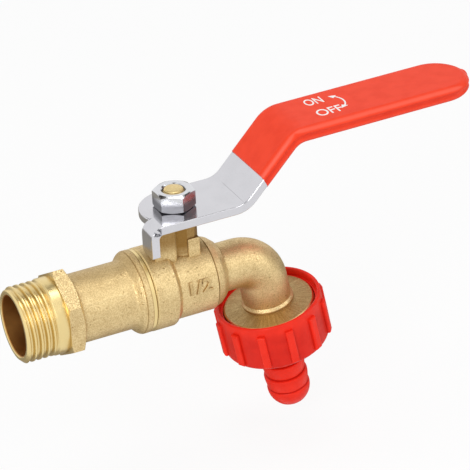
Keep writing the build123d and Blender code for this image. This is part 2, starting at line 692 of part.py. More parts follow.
def lever() -> Part:
    """The stamped lever: rear eye, stop tab, cranked strip and the blade inside the grip."""
    first, second, tip = handle_points()
    climb = (second - first).normalized()
    section = lever_section(LEVER_WIDTH, LEVER_THICKNESS)
    end = first + climb * (GRIP_START + LEVER_THICKNESS)
    path = FilletPolyline((0, 0, LEVER_MID), first, end, radius=BEND_RADIUS)
    tab_side = block(
        (-LEVER_WIDTH, -LEVER_WIDTH, TAB_BOTTOM),
        (TAB_BEND_RADIUS + 2 * LEVER_EDGE_ROUND - TAB_INNER_FACE, -TAB_EDGE, STEM_END),
    )
    eye = round_end(section, Vector(0, 0, LEVER_MID), Vector(1, 0, 0)) - tab_side
    bare = strip(path, section) - dip_side(-FIT_GAP, True)
    sheet = bare + eye + stop_tab() + blade(0)
    flats = Rectangle(STEM_FLATS + 2 * FIT_GAP, 4 * STEM_SCREW_RADIUS)
    hole = Circle(STEM_SCREW_RADIUS + FIT_GAP) & flats
    return AT_STEM * (sheet - Pos(0, 0, LEVER_BOTTOM) * extrude(hole, LEVER_THICKNESS))


def lever_grip() -> Part:
    """The dipped vinyl sleeve over the lever's handle, with the drip that dipping leaves at its tip."""
    first, second, tip = handle_points()
    climb = (second - first).normalized()
    start = first + climb * (GRIP_START - GRIP_SECTION_THICKNESS / 2)
    path = FilletPolyline(start, second, tip, radius=BEND_RADIUS)
    section = grip_section()
    along = (tip - second).normalized()
    sleeve = strip(path, section) + round_end(section, tip, along)
    nub_centre = tip + along * (GRIP_WIDTH / 2 + GRIP_NUB_REACH - GRIP_NUB_RADIUS)
    sleeve += Pos(*nub_centre) * Sphere(GRIP_NUB_RADIUS)
    return AT_STEM * (sleeve - dip_side(0, False) - blade(FIT_GAP))


# Hose union

def hose_washer() -> Part:
    """The flat rubber washer between the outlet and the hose tail."""
    return AT_OUTLET * tube(OUTLET_THREAD_END, WASHER_END, WASHER_RADIUS, WASHER_BORE_RADIUS)


def hose_tail() -> Part:
    """The flanged hose barb."""
    shank = TAIL_FLANGE_END + NUT_FOOT_WALL
    corners = [
        (WASHER_END, TAIL_BORE_RADIUS, 0),
        (WASHER_END, TAIL_FLANGE_RADIUS, 0),
        (TAIL_FLANGE_END, TAIL_FLANGE_RADIUS, 0),
        (TAIL_FLANGE_END, TAIL_SHANK_RADIUS, 0),
    ]
    for barb in range(BARB_COUNT):
        top = shank + BARB_START + barb * BARB_PITCH
        corners.append((top, BARB_ROOT_RADIUS if barb else TAIL_SHANK_RADIUS, 0))
        crest = BARB_CREST_RADIUS if barb < BARB_COUNT - 1 else BARB_LAST_RADIUS
        corners.append((top + BARB_FLANK, crest, BARB_ROUND))
    last = shank + BARB_START + (BARB_COUNT - 1) * BARB_PITCH
    corners.append((last + BARB_TIP_LENGTH, BARB_TIP_RADIUS, BARB_TIP_ROUND))
    corners.append((last + BARB_TIP_LENGTH, TAIL_BORE_RADIUS, 0))
    return AT_OUTLET * turned(corners)


def nut_rib() -> Part:
    """One grip rib of the union nut."""
    reach = NUT_RADIUS + NUT_RIB_HEIGHT
    rib = block(
        (NUT_RADIUS - NUT_RIB_HEIGHT, -NUT_RIB_WIDTH / 2, NUT_RIM + NUT_RIB_TOP),
        (reach, NUT_RIB_WIDTH / 2, NUT_FOOT - NUT_RIB_FOOT),
    )
    outer_edges = rib.faces().sort_by(Axis.X)[-1].edges()
    return fillet(outer_edges, NUT_RIB_ROUND)


def union_nut() -> Part:
    """The ribbed plastic nut that pulls the hose tail's flange up to the outlet."""
    floor = TAIL_FLANGE_END + RUNNING_GAP
    hole = BARB_CREST_RADIUS + NUT_TAIL_GAP
    shell = turned(
        [
            (NUT_RIM, NUT_RIM_BORE_RADIUS, NUT_RIM_ROUND),
            (NUT_RIM, NUT_RADIUS, NUT_RIM_ROUND),
            (NUT_FOOT, NUT_RADIUS, NUT_FOOT_ROUND),
            (NUT_FOOT, hole, 0),
            (floor, hole, 0),
            (floor, NUT_BORE_RADIUS, 0),
            (NUT_RIM + NUT_RIM_BORE_DEPTH, NUT_BORE_RADIUS, 0),
            (NUT_RIM + NUT_RIM_BORE_DEPTH, NUT_RIM_BORE_RADIUS, 0),
        ]
    )
    for rib in range(NUT_RIB_COUNT):
        shell += Rot(0, 0, NUT_RIB_TURN + rib * 360 / NUT_RIB_COUNT) * nut_rib()
    return AT_OUTLET * shell


PIECES = {
    "valve_body": valve_body(),
    "inlet_tail": inlet_tail(),
    "ball": ball(),
    "seat_inlet": seat(-1),
    "seat_outlet": seat(1),
    "stem": stem(),
    "stem_ring_lower": stem_ring(RING_GROOVE_LEVELS[0]),
    "stem_ring_upper": stem_ring(RING_GROOVE_LEVELS[1]),
    "thrust_washer": thrust_washer(),
    "lever": lever(),
    "lever_grip": lever_grip(),
    "lever_nut": lever_nut(),
    "hose_washer": hose_washer(),
    "hose_tail": hose_tail(),
    "union_nut": union_nut(),
}

os.makedirs("parts", exist_ok=True)
for name, piece in PIECES.items():
    export_step(piece, os.path.join("parts", name + ".step"))
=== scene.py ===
"""Dress the hose tap: blasted and turned brass, plated steel, red vinyl and red plastic.

Lengths are metres in the frame of the solids: the origin is on the inlet axis at the shoulder
behind the inlet thread, +X runs with the flow and +Z runs up the stem.
"""

import logging
import math
from dataclasses import dataclass
from enum import Enum
from typing import Callable, Dict, List, Sequence, Tuple, Union

import bmesh
import bpy
from bpy.types import ID, Material, Mesh, Node, NodeSocket, Object, World
from mathutils import Matrix, Vector


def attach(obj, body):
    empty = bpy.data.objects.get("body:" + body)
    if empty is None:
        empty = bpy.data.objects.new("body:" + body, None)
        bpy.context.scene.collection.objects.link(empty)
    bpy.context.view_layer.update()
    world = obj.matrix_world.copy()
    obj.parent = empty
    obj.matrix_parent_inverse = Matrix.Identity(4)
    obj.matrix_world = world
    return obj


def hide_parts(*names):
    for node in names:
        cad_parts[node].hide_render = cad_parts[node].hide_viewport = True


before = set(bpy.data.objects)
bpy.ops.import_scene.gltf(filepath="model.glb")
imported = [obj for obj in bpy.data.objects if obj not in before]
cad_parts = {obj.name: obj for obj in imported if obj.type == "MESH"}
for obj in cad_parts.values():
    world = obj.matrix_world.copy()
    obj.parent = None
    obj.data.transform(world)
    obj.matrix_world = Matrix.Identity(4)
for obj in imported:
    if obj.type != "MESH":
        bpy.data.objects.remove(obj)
log = logging.getLogger("hose_tap")

MM = 0.001
Colour = Tuple[float, float, float]
Point = Tuple[float, float, float]
Pair = Tuple[float, float]
Rule = Callable[[float, float], float]


class Body(Enum):
    """The moving bodies that pieces ride on."""

    TAP = "tap_body"
    LEVER = "lever_set"
    HOSE = "hose_set"


class Value:
    """A shader value; arithmetic on it adds Math nodes to its material."""

    def __init__(self, bench: "Bench", socket: NodeSocket) -> None:
        """Wrap an output socket of the bench's tree."""
        self.bench = bench
        self.socket = socket

    def _math(self, operation: str, first: "Term", second: "Term") -> "Value":
        """Add one Math node and wrap its result."""
        node = self.bench.node("ShaderNodeMath", {"operation": operation}, {0: first, 1: second})
        return Value(self.bench, node.outputs[0])

    def __add__(self, other: "Term") -> "Value":
        """Return self + other."""
        return self._math("ADD", self, other)

    __radd__ = __add__

    def __sub__(self, other: "Term") -> "Value":
        """Return self - other."""
        return self._math("SUBTRACT", self, other)

    def __rsub__(self, other: "Term") -> "Value":
        """Return other - self."""
        return self._math("SUBTRACT", other, self)

    def __mul__(self, other: "Term") -> "Value":
        """Return self * other."""
        return self._math("MULTIPLY", self, other)

    __rmul__ = __mul__

    def __pow__(self, other: "Term") -> "Value":
        """Return self to the power of other."""
        return self._math("POWER", self, other)

    def __abs__(self) -> "Value":
        """Return the size of self without its sign."""
        return self._math("ABSOLUTE", self, 0.0)

    def angle_from(self, other: "Term") -> "Value":
        """Return atan2(self, other)."""
        return self._math("ARCTAN2", self, other)

    def or_more(self, other: "Term") -> "Value":
        """Return the larger of self and other."""
        return self._math("MAXIMUM", self, other)

    def rise(self, low: float, high: float) -> "Value":
        """Fade smoothly from 0 at low to 1 at high.

        Args:
            low: The value that gives 0.
            high: The value that gives 1.

        Returns:
            The faded value, kept between 0 and 1.
        """
        node = self.bench.node(
            "ShaderNodeMapRange",
            {"interpolation_type": "SMOOTHSTEP"},
            {"Value": self, "From Min": low, "From Max": high},
        )
        return Value(self.bench, node.outputs[0])

    def band(self, low: float, high: float, soft: float) -> "Value":
        """Be 1 between low and high and 0 outside, with soft edges of the given width."""
        return self.rise(low - soft, low + soft) * (1.0 - self.rise(high - soft, high + soft))


Term = Union[Value, float]
Paint = Union[NodeSocket, Colour]


class Bench:
    """The node tree of one material or world, with short ways to add what the finishes need."""

    def __init__(self, owner: Union[Material, World]) -> None:
        """Open a tree at its one shader.

        Args:
            owner: The material or world.
        """
        owner.use_nodes = True
        self.owner = owner
        self.tree = owner.node_tree
        self.shader = next(n for n in self.tree.nodes if n.type in ("BSDF_PRINCIPLED", "BACKGROUND"))

    @classmethod
    def named(cls, name: str) -> "Bench":
        """Start a new material."""
        return cls(bpy.data.materials.new(name))

    def feed(self, socket: NodeSocket, value: object) -> None:
        """Link or set an input.

        Args:
            socket: The input.
            value: A value or socket to link, or a plain number or colour to set.
        """
        if isinstance(value, Value):
            self.tree.links.new(value.socket, socket)
        elif isinstance(value, NodeSocket):
            self.tree.links.new(value, socket)
        elif isinstance(value, tuple) and len(value) == 3 and len(socket.default_value) == 4:
            socket.default_value = (*value, 1.0)
        else:
            socket.default_value = value

    def node(self, kind: str, settings: Dict[str, object], sockets: Dict[object, object]) -> Node:
        """Add a node.

        Args:
            kind: The node's type name.
            settings: Attributes to set first.
            sockets: Values or links by socket name or number.

        Returns:
            The new node.
        """
        node = self.tree.nodes.new(kind)
        for name, value in settings.items():
            setattr(node, name, value)
        for key, value in sockets.items():
            self.feed(node.inputs[key], value)
        return node

    def set(self, **values: object) -> None:
        """Feed the shader's sockets; underscores stand for spaces."""
        for name, value in values.items():
            self.feed(self.shader.inputs[name.replace("_", " ")], value)

    def where(self) -> NodeSocket:
        """Return the position on the piece, in metres."""
        return self.node("ShaderNodeTexCoord", {}, {}).outputs["Object"]

    def place(self) -> Tuple[Value, Value, Value]:
        """Return the position on the piece, in metres, as three values."""
        split = self.node("ShaderNodeSeparateXYZ", {}, {0: self.where()})
        return tuple(Value(self, out) for out in split.outputs)

    def noise(self, where: NodeSocket, scale: float, detail: float) -> Value:
        """Return noise between 0 and 1 that changes about scale times a unit of a position."""
        node = self.node("ShaderNodeTexNoise", {}, {"Vector": where, "Scale": scale, "Detail": detail})
        return Value(self, node.outputs["Fac"])

    def streaks(self, across: Value, along: Value) -> Value:
        """Return noise that changes about once a unit of across and of along."""
        joined = self.node("ShaderNodeCombineXYZ", {}, {0: across, 1: along})
        return self.noise(joined.outputs[0], 1.0, 2.0)

    def grain(self, size: float, detail: float = 2.0, stretch: Point = (1.0, 1.0, 1.0)) -> Value:
        """Return soft noise between 0 and 1.

        Args:
            size: The grain's size in metres.
            detail: The number of finer layers.
            stretch: Scale factors of the position along each axis.

        Returns:
            The noise value.
        """
        sockets = {0: self.where(), 1: stretch}
        scaled = self.node("ShaderNodeVectorMath", {"operation": "MULTIPLY"}, sockets)
        return self.noise(scaled.outputs[0], 1.0 / size, detail)

    def pits(self, size: float, spread: float) -> Value:
        """Return 1 in small scattered pits of about the given spread of their cell, else 0."""
        cells = self.node("ShaderNodeTexVoronoi", {}, {"Vector": self.where(), "Scale": 1.0 / size})
        return 1.0 - Value(self, cells.outputs["Distance"]).rise(spread * 0.5, spread)

    def crevice_shade(self, reach: float) -> Value:
        """Return how hidden a spot is by its own piece, from 0 in the open to 1 in a deep corner, for
        painting shade into corners.
        """
        ao = self.node("ShaderNodeAmbientOcclusion", {"only_local": True, "samples": 8}, {"Distance": reach})
        return 1.0 - Value(self, ao.outputs["AO"])

    def mix(self, share: Term, first: Paint, second: Paint) -> NodeSocket:
        """Blend two colours by a share from 0 to 1."""
        node = self.node("ShaderNodeMix", {"data_type": "RGBA"}, {0: share, 6: first, 7: second})
        return node.outputs[2]

    def bump(self, height: Value, depth: float, strength: float = 1.0) -> None:
        """Let a height of the given depth in metres tilt the shader's normal."""
        node = self.node("ShaderNodeBump", {}, {"Height": height, "Distance": depth, "Strength": strength})
        self.feed(self.shader.inputs["Normal"], node.outputs[0])


Zone = Callable[[Bench], Term]


def nowhere(bench: Bench) -> float:
    """A zone that covers nothing."""
    return 0.0


def evenly(share: float) -> Zone:
    """A zone that covers a whole piece by one share."""
    return lambda bench: share


@dataclass(frozen=True)
class BrassFinish:
    """Blasted cast brass, with machined zones that are turned bright and bores that are dull."""

    cast: Colour = (0.82, 0.64, 0.335)  # Blasted skin
    shade: Colour = (0.30, 0.165, 0.045)  # Its darker grains and pits, and the shade painted into corners and darker zones
    bright: Colour = (0.84, 0.66, 0.31)  # Turned metal
    bore: Colour = (0.50, 0.24, 0.065)  # Tarnished inside

    def material(self, name: str, turned: Zone, inside: Zone, tarnish_and_shade: Zone = nowhere) -> Material:
        """Make the material.

        Args:
            name: The material's name.
            turned: Where the metal is turned bright.
            inside: Where the metal is a tarnished bore.
            tarnish_and_shade: Where the skin is darker, by streaks and dark lines and by painted shade.

        Returns:
            The finished material.
        """
        bench = Bench.named(name)
        bright = turned(bench)
        dull = inside(bench)
        speck = bench.grain(0.00034, 3.0).rise(0.36, 0.64)
        cloud = bench.grain(0.0032, 3.0).rise(0.3, 0.75)
        pit = bench.pits(0.0021, 0.16)
        # Painted shade: spots hidden in corners are mixed towards the shade colour, on the blasted skin and a
        # little on the turned metal.
        corner = bench.crevice_shade(0.0022).rise(0.1, 0.55)
        blasted = bench.mix(speck * 0.3 + cloud * 0.16, self.cast, self.shade)
        blasted = bench.mix(pit * 0.5, blasted, self.shade)
        blasted = bench.mix(corner * 0.9, blasted, self.shade)
        # This zone darkens the skin by streaks and dark lines, and also by painted shade.
        blasted = bench.mix(tarnish_and_shade(bench), blasted, self.shade)
        metal = bench.mix(bright, blasted, bench.mix(corner * 0.25, self.bright, self.shade))
        bench.set(
            Base_Color=bench.mix(dull, metal, self.bore),
            Metallic=1.0,
            Roughness=(1.0 - bright) * (0.36 + 0.2 * speck) + bright * (0.27 + 0.1 * cloud) + dull * 0.15,
        )
        bench.bump((1.0 - bright) * (speck * -1.0 - pit * 1.5) + bright * cloud * 0.1, 0.00004, 0.8)
        return bench.owner


@dataclass(frozen=True)
class PlatedFinish:
    """Bright plated steel with a faint rubbed grain."""

    colour: Colour = (0.66, 0.655, 0.685)  # Plating
    stain_and_shade: Colour = (0.10, 0.10, 0.115)  # Scratched relief, and painted shade and dark reflection in corners, along the fold and on the nut

    def material(self, name: str, marks_and_shade: Zone) -> Material:
        """Make the material.

        Args:
            name: The material's name.
            marks_and_shade: Where the plating is scratched dark, and where shade and a dark reflection are
                painted.

        Returns:
            The finished material.
        """
        bench = Bench.named(name)
        # This share holds rough relief and also painted shade and a painted dark reflection.
        mark = marks_and_shade(bench)
        rub = bench.grain(0.0004, 3.0, (0.12, 1.0, 1.0)).rise(0.35, 0.8)
        cloud = bench.grain(0.006, 2.0).rise(0.3, 0.8)
        # Painted shade: plating in corners is mixed towards the dark colour.
        corner = bench.crevice_shade(0.0012).rise(0.3, 0.9)
        clouded = bench.mix(cloud * 0.05, self.colour, self.stain_and_shade)
        bench.set(
            Base_Color=bench.mix(mark + corner * 0.35, clouded, self.stain_and_shade),
            Metallic=1.0,
            Roughness=0.1 + 0.09 * rub + 0.06 * cloud + 0.25 * mark,
        )
        bench.bump(rub * -0.4 - mark, 0.00002, 0.6)
        return bench.owner


@dataclass(frozen=True)
class PlasticFinish:
    """Coloured plastic or vinyl."""

    colour: Colour  # The main colour
    deep: Colour  # The colour of the mottles, and of the shade painted into corners, creases and grooves
    roughness: float  # How matt the surface is
    shine: float  # Level of the mirror reflection
    gloss: float  # Weight of the clear coat
    dimple: float  # Depth of the surface's ripple, in metres
    pale: Colour = (0.95, 0.24, 0.17)  # The colour of highlights painted on edges

    def material(self, name: str, painted_shade: Zone = nowhere, edge: Zone = nowhere) -> Material:
        """Make the material.

        Args:
            name: The material's name.
            painted_shade: Where shade is painted in the deep colour.
            edge: Where a highlight is painted in the pale colour.

        Returns:
            The finished material.
        """
        bench = Bench.named(name)
        cloud = bench.grain(0.004, 3.0).rise(0.3, 0.75)
        fine = bench.grain(0.0006, 2.0)
        # Painted shade: corners and the given shade zone are mixed towards the deep colour, on top of the
        # plastic's own mottles.
        corner = bench.crevice_shade(0.0014).rise(0.2, 0.9)
        depth = cloud * 0.25 + corner * 0.6 + painted_shade(bench)
        bench.set(
            # Painted highlight where the edge zone is.
            Base_Color=bench.mix(edge(bench), bench.mix(depth, self.colour, self.deep), self.pale),
            Roughness=self.roughness + 0.08 * fine + 0.05 * cloud,
            Specular_IOR_Level=self.shine,
            Coat_Weight=self.gloss,
            Coat_Roughness=0.2,
        )
        bench.bump(cloud + fine * 0.3, self.dimple, 0.5)
        return bench.owner


def add(name: str, data: ID) -> Object:
    """Put a new object in the scene.

    Args:
        name: The object's name.
        data: Its mesh, curve, lamp or camera.

    Returns:
        The object.
    """
    thing = bpy.data.objects.new(name, data)
    bpy.context.collection.objects.link(thing)
    return thing


def paint(mesh: Mesh, material: Material) -> None:
    """Give a mesh its one finish."""
    mesh.materials.clear()
    mesh.materials.append(material)


def new_piece(name: str, mesh: Mesh, material: Material, body: Body) -> Object:
    """Put a mesh in the scene as a piece of the object.

    Args:
        name: The piece's name.
        mesh: Its mesh, in the frame of the solids.
        material: Its finish.
        body: The body it rides on.

    Returns:
        The new object.
    """
    piece = add(name, mesh)
    paint(mesh, material)
    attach(piece, body.value)
    log.info("%s: new piece of %d faces", name, len(mesh.polygons))
    return piece


def dress(node: str, material: Material) -> None:
    """Give a solid of the frame its finish."""
    paint(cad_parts[node].data, material)
    log.info("%s: solid in %s", node, material.name)


def settle(work: bmesh.types.BMesh, mesh: Mesh, crease: float) -> Mesh:
    """Write worked faces to a mesh, smooth and looking outwards.

    Args:
        work: The worked faces, which are freed.
        mesh: The mesh to fill.
        crease: The angle in degrees from which an edge is sharp.

    Returns:
        The mesh.
    """
    bmesh.ops.recalc_face_normals(work, faces=work.faces)
    work.to_mesh(mesh)
    work.free()
    mesh.shade_smooth()
    mesh.set_sharp_from_angle(angle=math.radians(crease))
    return mesh


def closed_mesh(
    name: str, points: Sequence[Vector], faces: Sequence[Sequence[int]], crease: float
) -> Mesh:
    """Make a smooth mesh whose faces look outwards.

    Args:
        name: The mesh's name.
        points: Its points.
        faces: Its faces, by number of point.
        crease: The angle in degrees from which an edge is sharp.

    Returns:
        The mesh.
    """
    mesh = bpy.data.meshes.new(name)
    mesh.from_pydata([tuple(point) for point in points], [], faces)
    work = bmesh.new()
    work.from_mesh(mesh)
    return settle(work, mesh, crease)


def grid_mesh(name: str, rows: Sequence[Sequence[Vector]]) -> Mesh:
    """Join rows of points into a closed skin that goes round and comes back to its first row.

    Args:
        name: The mesh's name.
        rows: Rings of points, all of one length.

    Returns:
        A smooth-shaded mesh.
    """
    count = len(rows[0])
    points = [point for row in rows for point in row]
    faces = []
    for r in range(len(rows)):
        here, after = r * count, (r + 1) % len(rows) * count
        for c in range(count):
            nxt = (c + 1) % count
            faces.append((here + c, here + nxt, after + nxt, after + c))
    return closed_mesh(name, points, faces, 32.0)


def lathe(name: str, outline: Sequence[Pair], place: Matrix, columns: int) -> Mesh:
    """Turn an outline about the Z axis of a frame.

    Args:
        name: The mesh's name.
        outline: Heights along Z and radii, in millimetres.
        place: The frame.
        columns: Points round a ring.

    Returns:
        The turned mesh.
    """
    turns = [math.tau * c / columns for c in range(columns)]
    rows = []
    for along, radius in outline:
        ring = [Vector((radius * math.cos(t), radius * math.sin(t), along)) * MM for t in turns]
        rows.append([place @ point for point in ring])
    return grid_mesh(name, rows)


def lettering(
    name: str, words: str, size: Point, bold: float, place: Callable[[Vector], Vector]
) -> Mesh:
    """Make raised letters and lay them on a surface.

    Args:
        name: The mesh's name.
        words: The letters.
        size: Their whole width, their height and how far they stand up, in metres.
        bold: How much thicker their strokes are, as a share of their size.
        place: Takes a point on the flat letters, centred, to its place on the object.

    Returns:
        The letters' mesh.
    """
    bevel, longest = 0.02, 0.12
    curve = bpy.data.curves.new(name, "FONT")
    curve.body = words
    curve.size = 1.0
    curve.offset = bold - bevel
    curve.extrude = 0.05
    curve.bevel_depth = bevel
    curve.bevel_resolution = 2
    maker = add(name, curve)
    flat = bpy.data.meshes.new_from_object(maker.evaluated_get(bpy.context.evaluated_depsgraph_get()))
    bpy.data.objects.remove(maker)
    work = bmesh.new()
    work.from_mesh(flat)
    bmesh.ops.remove_doubles(work, verts=work.verts, dist=1e-5)
    bmesh.ops.triangulate(work, faces=work.faces)
    long_edges = [e for e in work.edges if e.calc_length() > longest]
    bmesh.ops.subdivide_edges(work, edges=long_edges, cuts=3)
    low = [min(v.co[k] for v in work.verts) for k in range(3)]
    high = [max(v.co[k] for v in work.verts) for k in range(3)]
    span = (size[0], size[1], 2.0 * size[2])
    for vert in work.verts:
        share = [(vert.co[k] - low[k]) / (high[k] - low[k]) - 0.5 for k in range(3)]
        vert.co = place(Vector([share[k] * span[k] for k in range(3)]))
    flat.name = name
    return settle(work, flat, 40.0)


@dataclass
class OutletFrame:
    """The line of the outlet, nut and hose tail."""

    corner: Point = (0.0597, 0.0, 0.0)  # Where it leaves the flow axis
    tilt: float = 10.3  # Its lean from straight down, in degrees

    def down(self) -> Vector:
        """The direction of flow out of the outlet."""
        lean = math.radians(self.tilt)
        return Vector((math.sin(lean), 0.0, -math.cos(lean)))

    def matrix(self) -> Matrix:
        """Make the outlet's frame.

        Returns:
            A frame whose Z runs down the outlet from the corner.
        """
        across, down = Vector((0.0, 1.0, 0.0)), self.down()
        turn = Matrix((across.cross(down), across, down)).transposed()
        return Matrix.Translation(Vector(self.corner)) @ turn.to_4x4()

    def along(self, bench: Bench) -> Value:
        """The distance along the outlet line, as a shader value."""
        (x, _, z), down = bench.place(), self.down()
        return (x - self.corner[0]) * down.x + (z - self.corner[2]) * down.z

    def side(self, bench: Bench) -> Value:
        """The distance from the outlet line in the XZ plane, as a shader value."""
        (x, _, z), down = bench.place(), self.down()
        return (x - self.corner[0]) * -down.z + (z - self.corner[2]) * down.x

    def radius(self, bench: Bench) -> Value:
        """The distance from the outlet line, as a shader value."""
        (_, y, _), side = bench.place(), self.side(bench)
        return (side * side + y * y) ** 0.5


def clamp(share: float) -> float:
    """Keep a share between 0 and 1."""
    return min(1.0, max(0.0, share))


@dataclass
class InletTail:
    """The threaded brass end: its screw, hexagon, barrel and joint ring."""

    thread_radius: float = 10.32 * MM  # Over the crests
    neck_radius: float = 10.48 * MM  # Plain neck behind the thread
    thread_pitch: float = 1.814 * MM  # Crest to crest
    thread_depth: float = 0.84 * MM  # Crest to root
    thread_length: float = 11.8 * MM  # Mouth to shoulder
    thread_turn: float = 0.755  # Where the groove starts, as a share of a turn
    plain_length: float = 2.9 * MM  # Plain neck
    lead_in: float = 0.9 * MM  # Mouth's bevel
    bore_radius: float = 8.3 * MM
    hex_flats: float = 22.0 * MM  # Across the flats
    hex_width: float = 4.7 * MM  # Along X
    hex_corner: float = 29.0  # Angle of one corner about +X from +Y, in degrees
    barrel_radius: float = 9.4 * MM
    ring_start: float = 22.0 * MM  # Joint ring
    joint: float = 24.9 * MM  # Joint face
    ring_radius: float = 11.45 * MM
    spigot_end: float = 30.8 * MM  # Spigot inside the body
    spigot_radius: float = 9.8 * MM
    port_radius: float = 5.0 * MM  # Narrow port
    seat_radius: float = 8.55 * MM  # Seat's pocket
    seat_depth: float = 1.8 * MM
    ridge_angle: float = 148.0  # Mould ridge, about +X from +Y, in degrees
    ridge_rise: float = 0.1 * MM
    ridge_width: float = 0.22 * MM  # Half width
    flare_length: float = 2.0 * MM  # Barrel's widening before the ring
    flare_steps: Tuple[Pair, ...] = (  # Steps along X and in radius where the barrel widens, in millimetres
        (-0.2, 0.06), (0.1, 0.22), (0.4, 0.52), (0.7, 0.85), (1.0, 1.2), (1.3, 1.48), (1.6, 1.72),
        (1.8, 1.86),
    )
    ring_steps: Tuple[Pair, ...] = (  # Steps along X and in radius over the joint ring, in millimetres
        (0.0, -0.28), (0.2, -0.02), (0.5, 0.0), (1.1, 0.0), (1.5, 0.0), (1.55, -0.04), (2.0, -0.04),
        (2.55, -0.04),
    )
    screw_rows: int = 220  # Rings of points
    hex_rows: int = 26
    barrel_rows: int = 12
    columns: int = 240  # Points round a ring

    def thread(self, x: float, angle: float) -> float:
        """Work out the screw's radius.

        Args:
            x: A place along the screw.
            angle: An angle about +X.

        Returns:
            The radius there.
        """
        root, flank, stop = 0.2, 0.65, -self.plain_length
        phase = (x / self.thread_pitch - angle / math.tau + self.thread_turn) % 1.0
        climb = clamp((abs(2.0 * phase - 1.0) - root) / flank)
        crest = climb * climb * (3.0 - 2.0 * climb)
        fade = clamp((stop - x) / (0.5 * self.thread_pitch))
        step = self.neck_radius - self.thread_radius
        radius = self.thread_radius + step * clamp((x - stop) / step)
        radius = radius - self.thread_depth * (1.0 - crest) * fade
        return min(radius, self.thread_radius - self.lead_in + (x + self.thread_length))

    def hexagon(self, x: float, angle: float) -> float:
        """Work out the hexagon's radius, with its corners turned off at both ends.

        Args:
            x: A place along the hexagon.
            angle: An angle about +X.

        Returns:
            The radius there.
        """
        step, steep, front_bevel, back_bevel = math.radians(60.0), 2.0, 0.45 * MM, 1.3 * MM
        turn = (angle - math.radians(self.hex_corner)) % step - step / 2.0
        flat = self.hex_flats / 2.0 / math.cos(turn)
        corner = self.hex_flats / math.sqrt(3.0)
        front = corner - steep * (front_bevel - x)
        back = corner - steep * (x - (self.hex_width - back_bevel))
        return min(flat, front, back)

    def barrel(self, x: float, angle: float) -> float:
        """The barrel's radius, with the fine ridge that the mould halves left."""
        off = ((angle - math.radians(self.ridge_angle) + math.pi) % math.tau - math.pi) * self.barrel_radius
        return self.barrel_radius + self.ridge_rise * math.exp(-((off / self.ridge_width) ** 2))

    def rows(self) -> List[Tuple[float, Rule]]:
        """List the rings of the skin.

        Returns:
            A place along X and the rule for the radius there, ring by ring.
        """
        start, flare = -self.thread_length, self.ring_start - self.flare_length
        pocket, mouth, taper = self.spigot_end - self.seat_depth, 0.4 * MM, 4.0 * MM
        rings: List[Tuple[float, Rule]] = []

        def spread(first: float, last: float, count: int, rule: Rule) -> None:
            """Add evenly spaced rings that follow one rule."""
            rings.extend((first + (last - first) * k / count, rule) for k in range(count + 1))

        spread(start, 0.0, self.screw_rows, self.thread)
        spread(0.0, self.hex_width, self.hex_rows, self.hexagon)
        spread(self.hex_width, flare - 0.5 * MM, self.barrel_rows, self.barrel)
        round_rings = [(flare + dx * MM, self.barrel_radius + dr * MM) for dx, dr in self.flare_steps]
        round_rings += [(self.ring_start + dx * MM, self.ring_radius + dr * MM) for dx, dr in self.ring_steps]
        round_rings += [
            (self.joint, self.ring_radius - 0.39 * MM),
            (self.joint, self.spigot_radius),
            (self.spigot_end, self.spigot_radius),
            (self.spigot_end, self.seat_radius),
            (pocket, self.seat_radius),
            (pocket, self.port_radius),
            (self.joint, self.port_radius),
            (self.joint - taper, self.bore_radius),
            (start + mouth, self.bore_radius),
            (start, self.bore_radius + mouth),
        ]
        return rings + [(x, lambda along, angle, radius=radius: radius) for x, radius in round_rings]

    def mesh(self) -> Mesh:
        """Build the skin.

        Returns:
            Its mesh.
        """
        first = math.radians(self.hex_corner)
        angles = [first + math.tau * c / self.columns for c in range(self.columns)]
        rows = []
        for x, rule in self.rows():
            ring = [(rule(x, angle), angle) for angle in angles]
            rows.append([Vector((x, r * math.cos(a), r * math.sin(a))) for r, a in ring])
        return grid_mesh("inlet_tail_skin", rows)

    def turned(self, bench: Bench) -> Value:
        """Where the tail is machined: the screw, its plain neck and the joint ring.

        Args:
            bench: The material's tree.

        Returns:
            The share of bright metal.
        """
        x, _, _ = bench.place()
        screw = 1.0 - x.rise(-0.05 * MM, 0.1 * MM)
        ring = x.band(self.ring_start + 1.7 * MM, self.joint - 0.25 * MM, 0.06 * MM)
        return screw + ring

    def ring_lines_and_top_shade(self, bench: Bench) -> Value:
        """Where the tail is dark: painted shade along its top, and dark lines either side of the bright joint
        ring.

        Args:
            bench: The material's tree.

        Returns:
            The share of dark metal.
        """
        x, _, z = bench.place()
        before = x.band(self.ring_start + 1.45 * MM, self.ring_start + 1.65 * MM, 0.06 * MM)
        after = x.rise(self.joint - 0.25 * MM, self.joint - 0.15 * MM)
        # Painted shade along the barrel's top.
        top = z.rise(5.5 * MM, 9.6 * MM) * x.rise(4.0 * MM, 6.0 * MM)
        return before * 0.55 + after * 0.9 + top * 0.3

    def inside(self, bench: Bench) -> Value:
        """Where the tail is a tarnished bore."""
        _, y, z = bench.place()
        return 1.0 - ((y * y + z * z) ** 0.5).rise(self.bore_radius + 0.1 * MM, self.bore_radius + 0.3 * MM)

    def build(self, finish: BrassFinish) -> None:
        """Make the tail and let it stand for its solid.

        Args:
            finish: The brass.
        """
        material = finish.material("inlet_brass", self.turned, self.inside, self.ring_lines_and_top_shade)
        piece = new_piece("inlet_tail_skin", self.mesh(), material, Body.TAP)
        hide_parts("inlet_tail")


